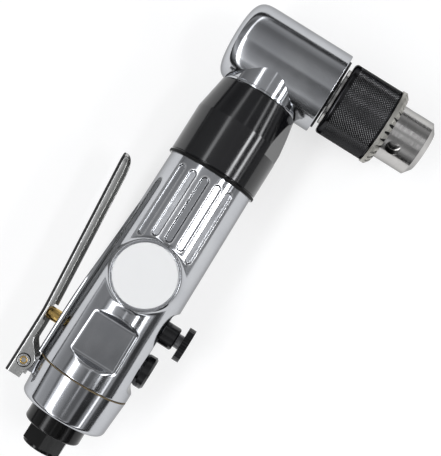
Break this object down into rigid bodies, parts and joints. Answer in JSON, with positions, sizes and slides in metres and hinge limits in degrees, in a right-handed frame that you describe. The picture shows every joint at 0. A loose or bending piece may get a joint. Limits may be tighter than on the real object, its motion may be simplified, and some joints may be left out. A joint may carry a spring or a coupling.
{
  "type": "angle air drill",
  "caption": "Right angle air drill with a squeeze lever, a reversing knob, a vane motor with planet and bevel gears, and a keyed three-jaw chuck.",
  "frame": {"origin": "centre of the air inlet's mouth, on the handle's axis", "axes": "+Y along the handle towards the angle head, +X along the spindle out of the chuck, +Z out of the side that carries the nameplate"},
  "size_m": [0.1107, 0.2191, 0.0434],
  "materials": {
    "polished_aluminium": "polished cast aluminium",
    "white_disc": "glossy white disc",
    "gasket_fibre": "brown fibre gasket",
    "black_anodised": "glossy black anodised metal",
    "black_oxide": "matt black oxide",
    "bright_steel": "bright turned steel",
    "ground_steel": "ground and polished steel",
    "bearing_steel": "polished bearing steel",
    "dark_steel": "hardened steel",
    "nickel_plate": "bright nickel plate",
    "brass": "turned brass",
    "rubber": "black nitrile rubber",
    "felt": "grey sintered felt",
    "vane_composite": "brown resin composite"
  },
  "bodies": {
    "housing": {"motor_housing": "polished_aluminium", "nameplate": "white_disc", "end_cap": "polished_aluminium", "cap_gasket": "gasket_fibre", "air_inlet": "black_anodised", "inlet_screen": "bright_steel", "exhaust_muffler": "felt", "lever_pin": "brass", "throttle_bushing": "brass", "stem_oring": "rubber", "throttle_spring": "bright_steel", "throttle_cap": "black_anodised", "throttle_cap_oring": "rubber", "reverse_bushing": "black_anodised", "reverse_oring": "rubber", "rear_end_plate": "bright_steel", "rotor_rear_bearing": "bearing_steel", "cylinder_liner": "bright_steel", "liner_dowel": "bright_steel", "front_end_plate": "bright_steel", "rotor_front_bearing": "bearing_steel", "ring_gear": "dark_steel", "carrier_bearing": "bearing_steel", "coupling_sleeve": "black_anodised", "sleeve_oring": "rubber", "angle_head": "polished_aluminium", "pinion_bearing": "bearing_steel", "spindle_rear_bearing": "bearing_steel", "spindle_front_bearing": "bearing_steel", "head_front_ring": "black_oxide"},
    "lever": {"throttle_lever": "nickel_plate"},
    "throttle": {"throttle_stem": "brass", "throttle_valve_seal": "rubber"},
    "reverse": {"reverse_spool": "dark_steel", "reverse_knob": "black_anodised", "knob_pin": "bright_steel"},
    "rotor": {"rotor": "dark_steel", "rotor_vanes": "vane_composite"},
    "carrier": {"planet_carrier": "dark_steel", "planet_pins": "bright_steel", "bevel_pinion": "dark_steel"},
    "planet_1": {"planet_gear_1": "dark_steel"},
    "planet_2": {"planet_gear_2": "dark_steel"},
    "planet_3": {"planet_gear_3": "dark_steel"},
    "spindle": {"spindle": "bright_steel", "spindle_key": "bright_steel", "bevel_gear": "dark_steel", "chuck_body": "ground_steel"},
    "chuck_sleeve": {"chuck_sleeve": "black_oxide", "chuck_gear_ring": "bright_steel", "jaw_nut": "dark_steel"},
    "jaw_1": {"chuck_jaw_1": "dark_steel"},
    "jaw_2": {"chuck_jaw_2": "dark_steel"},
    "jaw_3": {"chuck_jaw_3": "dark_steel"}
  },
  "joints": [
    {"name": "lever_pivot", "type": "hinge", "parent": "housing", "child": "lever", "pos_m": [-0.0259, 0.0295, 0], "axis": [0, 0, -1], "range_deg": [0, 7.2], "stiffness_Nm_per_rad": 3, "springref_deg": -8.59},
    {"name": "stem_slide", "type": "slide", "parent": "housing", "child": "throttle", "axis": [1, 0, 0], "range_m": [0, 0.0033], "deforming": ["throttle_spring"]},
    {"name": "reverse_turn", "type": "hinge", "parent": "housing", "child": "reverse", "pos_m": [0, 0.0711, 0], "axis": [1, 0, 0], "range_deg": [0, 90]},
    {"name": "spindle_spin", "type": "hinge", "parent": "housing", "child": "spindle", "pos_m": [0, 0.2, 0], "axis": [1, 0, 0], "continuous": true},
    {"name": "carrier_spin", "type": "hinge", "parent": "housing", "child": "carrier", "pos_m": [0, 0.16, 0], "axis": [0, 1, 0], "continuous": true},
    {"name": "rotor_spin", "type": "hinge", "parent": "housing", "child": "rotor", "pos_m": [0, 0.11, 0], "axis": [0, 1, 0], "continuous": true},
    {"name": "planet_1_spin", "type": "hinge", "parent": "carrier", "child": "planet_1", "pos_m": [0.00945, 0.153, 0], "axis": [0, 1, 0], "continuous": true},
    {"name": "planet_2_spin", "type": "hinge", "parent": "carrier", "child": "planet_2", "pos_m": [-0.00473, 0.153, -0.00818], "axis": [0, 1, 0], "continuous": true},
    {"name": "planet_3_spin", "type": "hinge", "parent": "carrier", "child": "planet_3", "pos_m": [-0.00473, 0.153, 0.00818], "axis": [0, 1, 0], "continuous": true},
    {"name": "chuck_sleeve_turn", "type": "hinge", "parent": "spindle", "child": "chuck_sleeve", "pos_m": [0.04, 0.2, 0], "axis": [1, 0, 0], "range_deg": [0, 4172]},
    {"name": "jaw_1_slide", "type": "slide", "parent": "spindle", "child": "jaw_1", "axis": [0.9659, -0.097, -0.24], "range_m": [0, 0.01739]},
    {"name": "jaw_2_slide", "type": "slide", "parent": "spindle", "child": "jaw_2", "axis": [0.9659, 0.2563, 0.036], "range_m": [0, 0.01739]},
    {"name": "jaw_3_slide", "type": "slide", "parent": "spindle", "child": "jaw_3", "axis": [0.9659, -0.1593, 0.204], "range_m": [0, 0.01739]}
  ],
  "couplings": [
    {"joint": "stem_slide", "follows": "lever_pivot", "m_per_rad": 0.0238},
    {"joint": "carrier_spin", "follows": "spindle_spin", "ratio": -1.75},
    {"joint": "rotor_spin", "follows": "spindle_spin", "ratio": -10.5},
    {"joint": "planet_1_spin", "follows": "spindle_spin", "ratio": 4.375},
    {"joint": "planet_2_spin", "follows": "spindle_spin", "ratio": 4.375},
    {"joint": "planet_3_spin", "follows": "spindle_spin", "ratio": 4.375},
    {"joint": "jaw_1_slide", "follows": "chuck_sleeve_turn", "m_per_rad": 0.00023873},
    {"joint": "jaw_2_slide", "follows": "chuck_sleeve_turn", "m_per_rad": 0.00023873},
    {"joint": "jaw_3_slide", "follows": "chuck_sleeve_turn", "m_per_rad": 0.00023873}
  ]
}
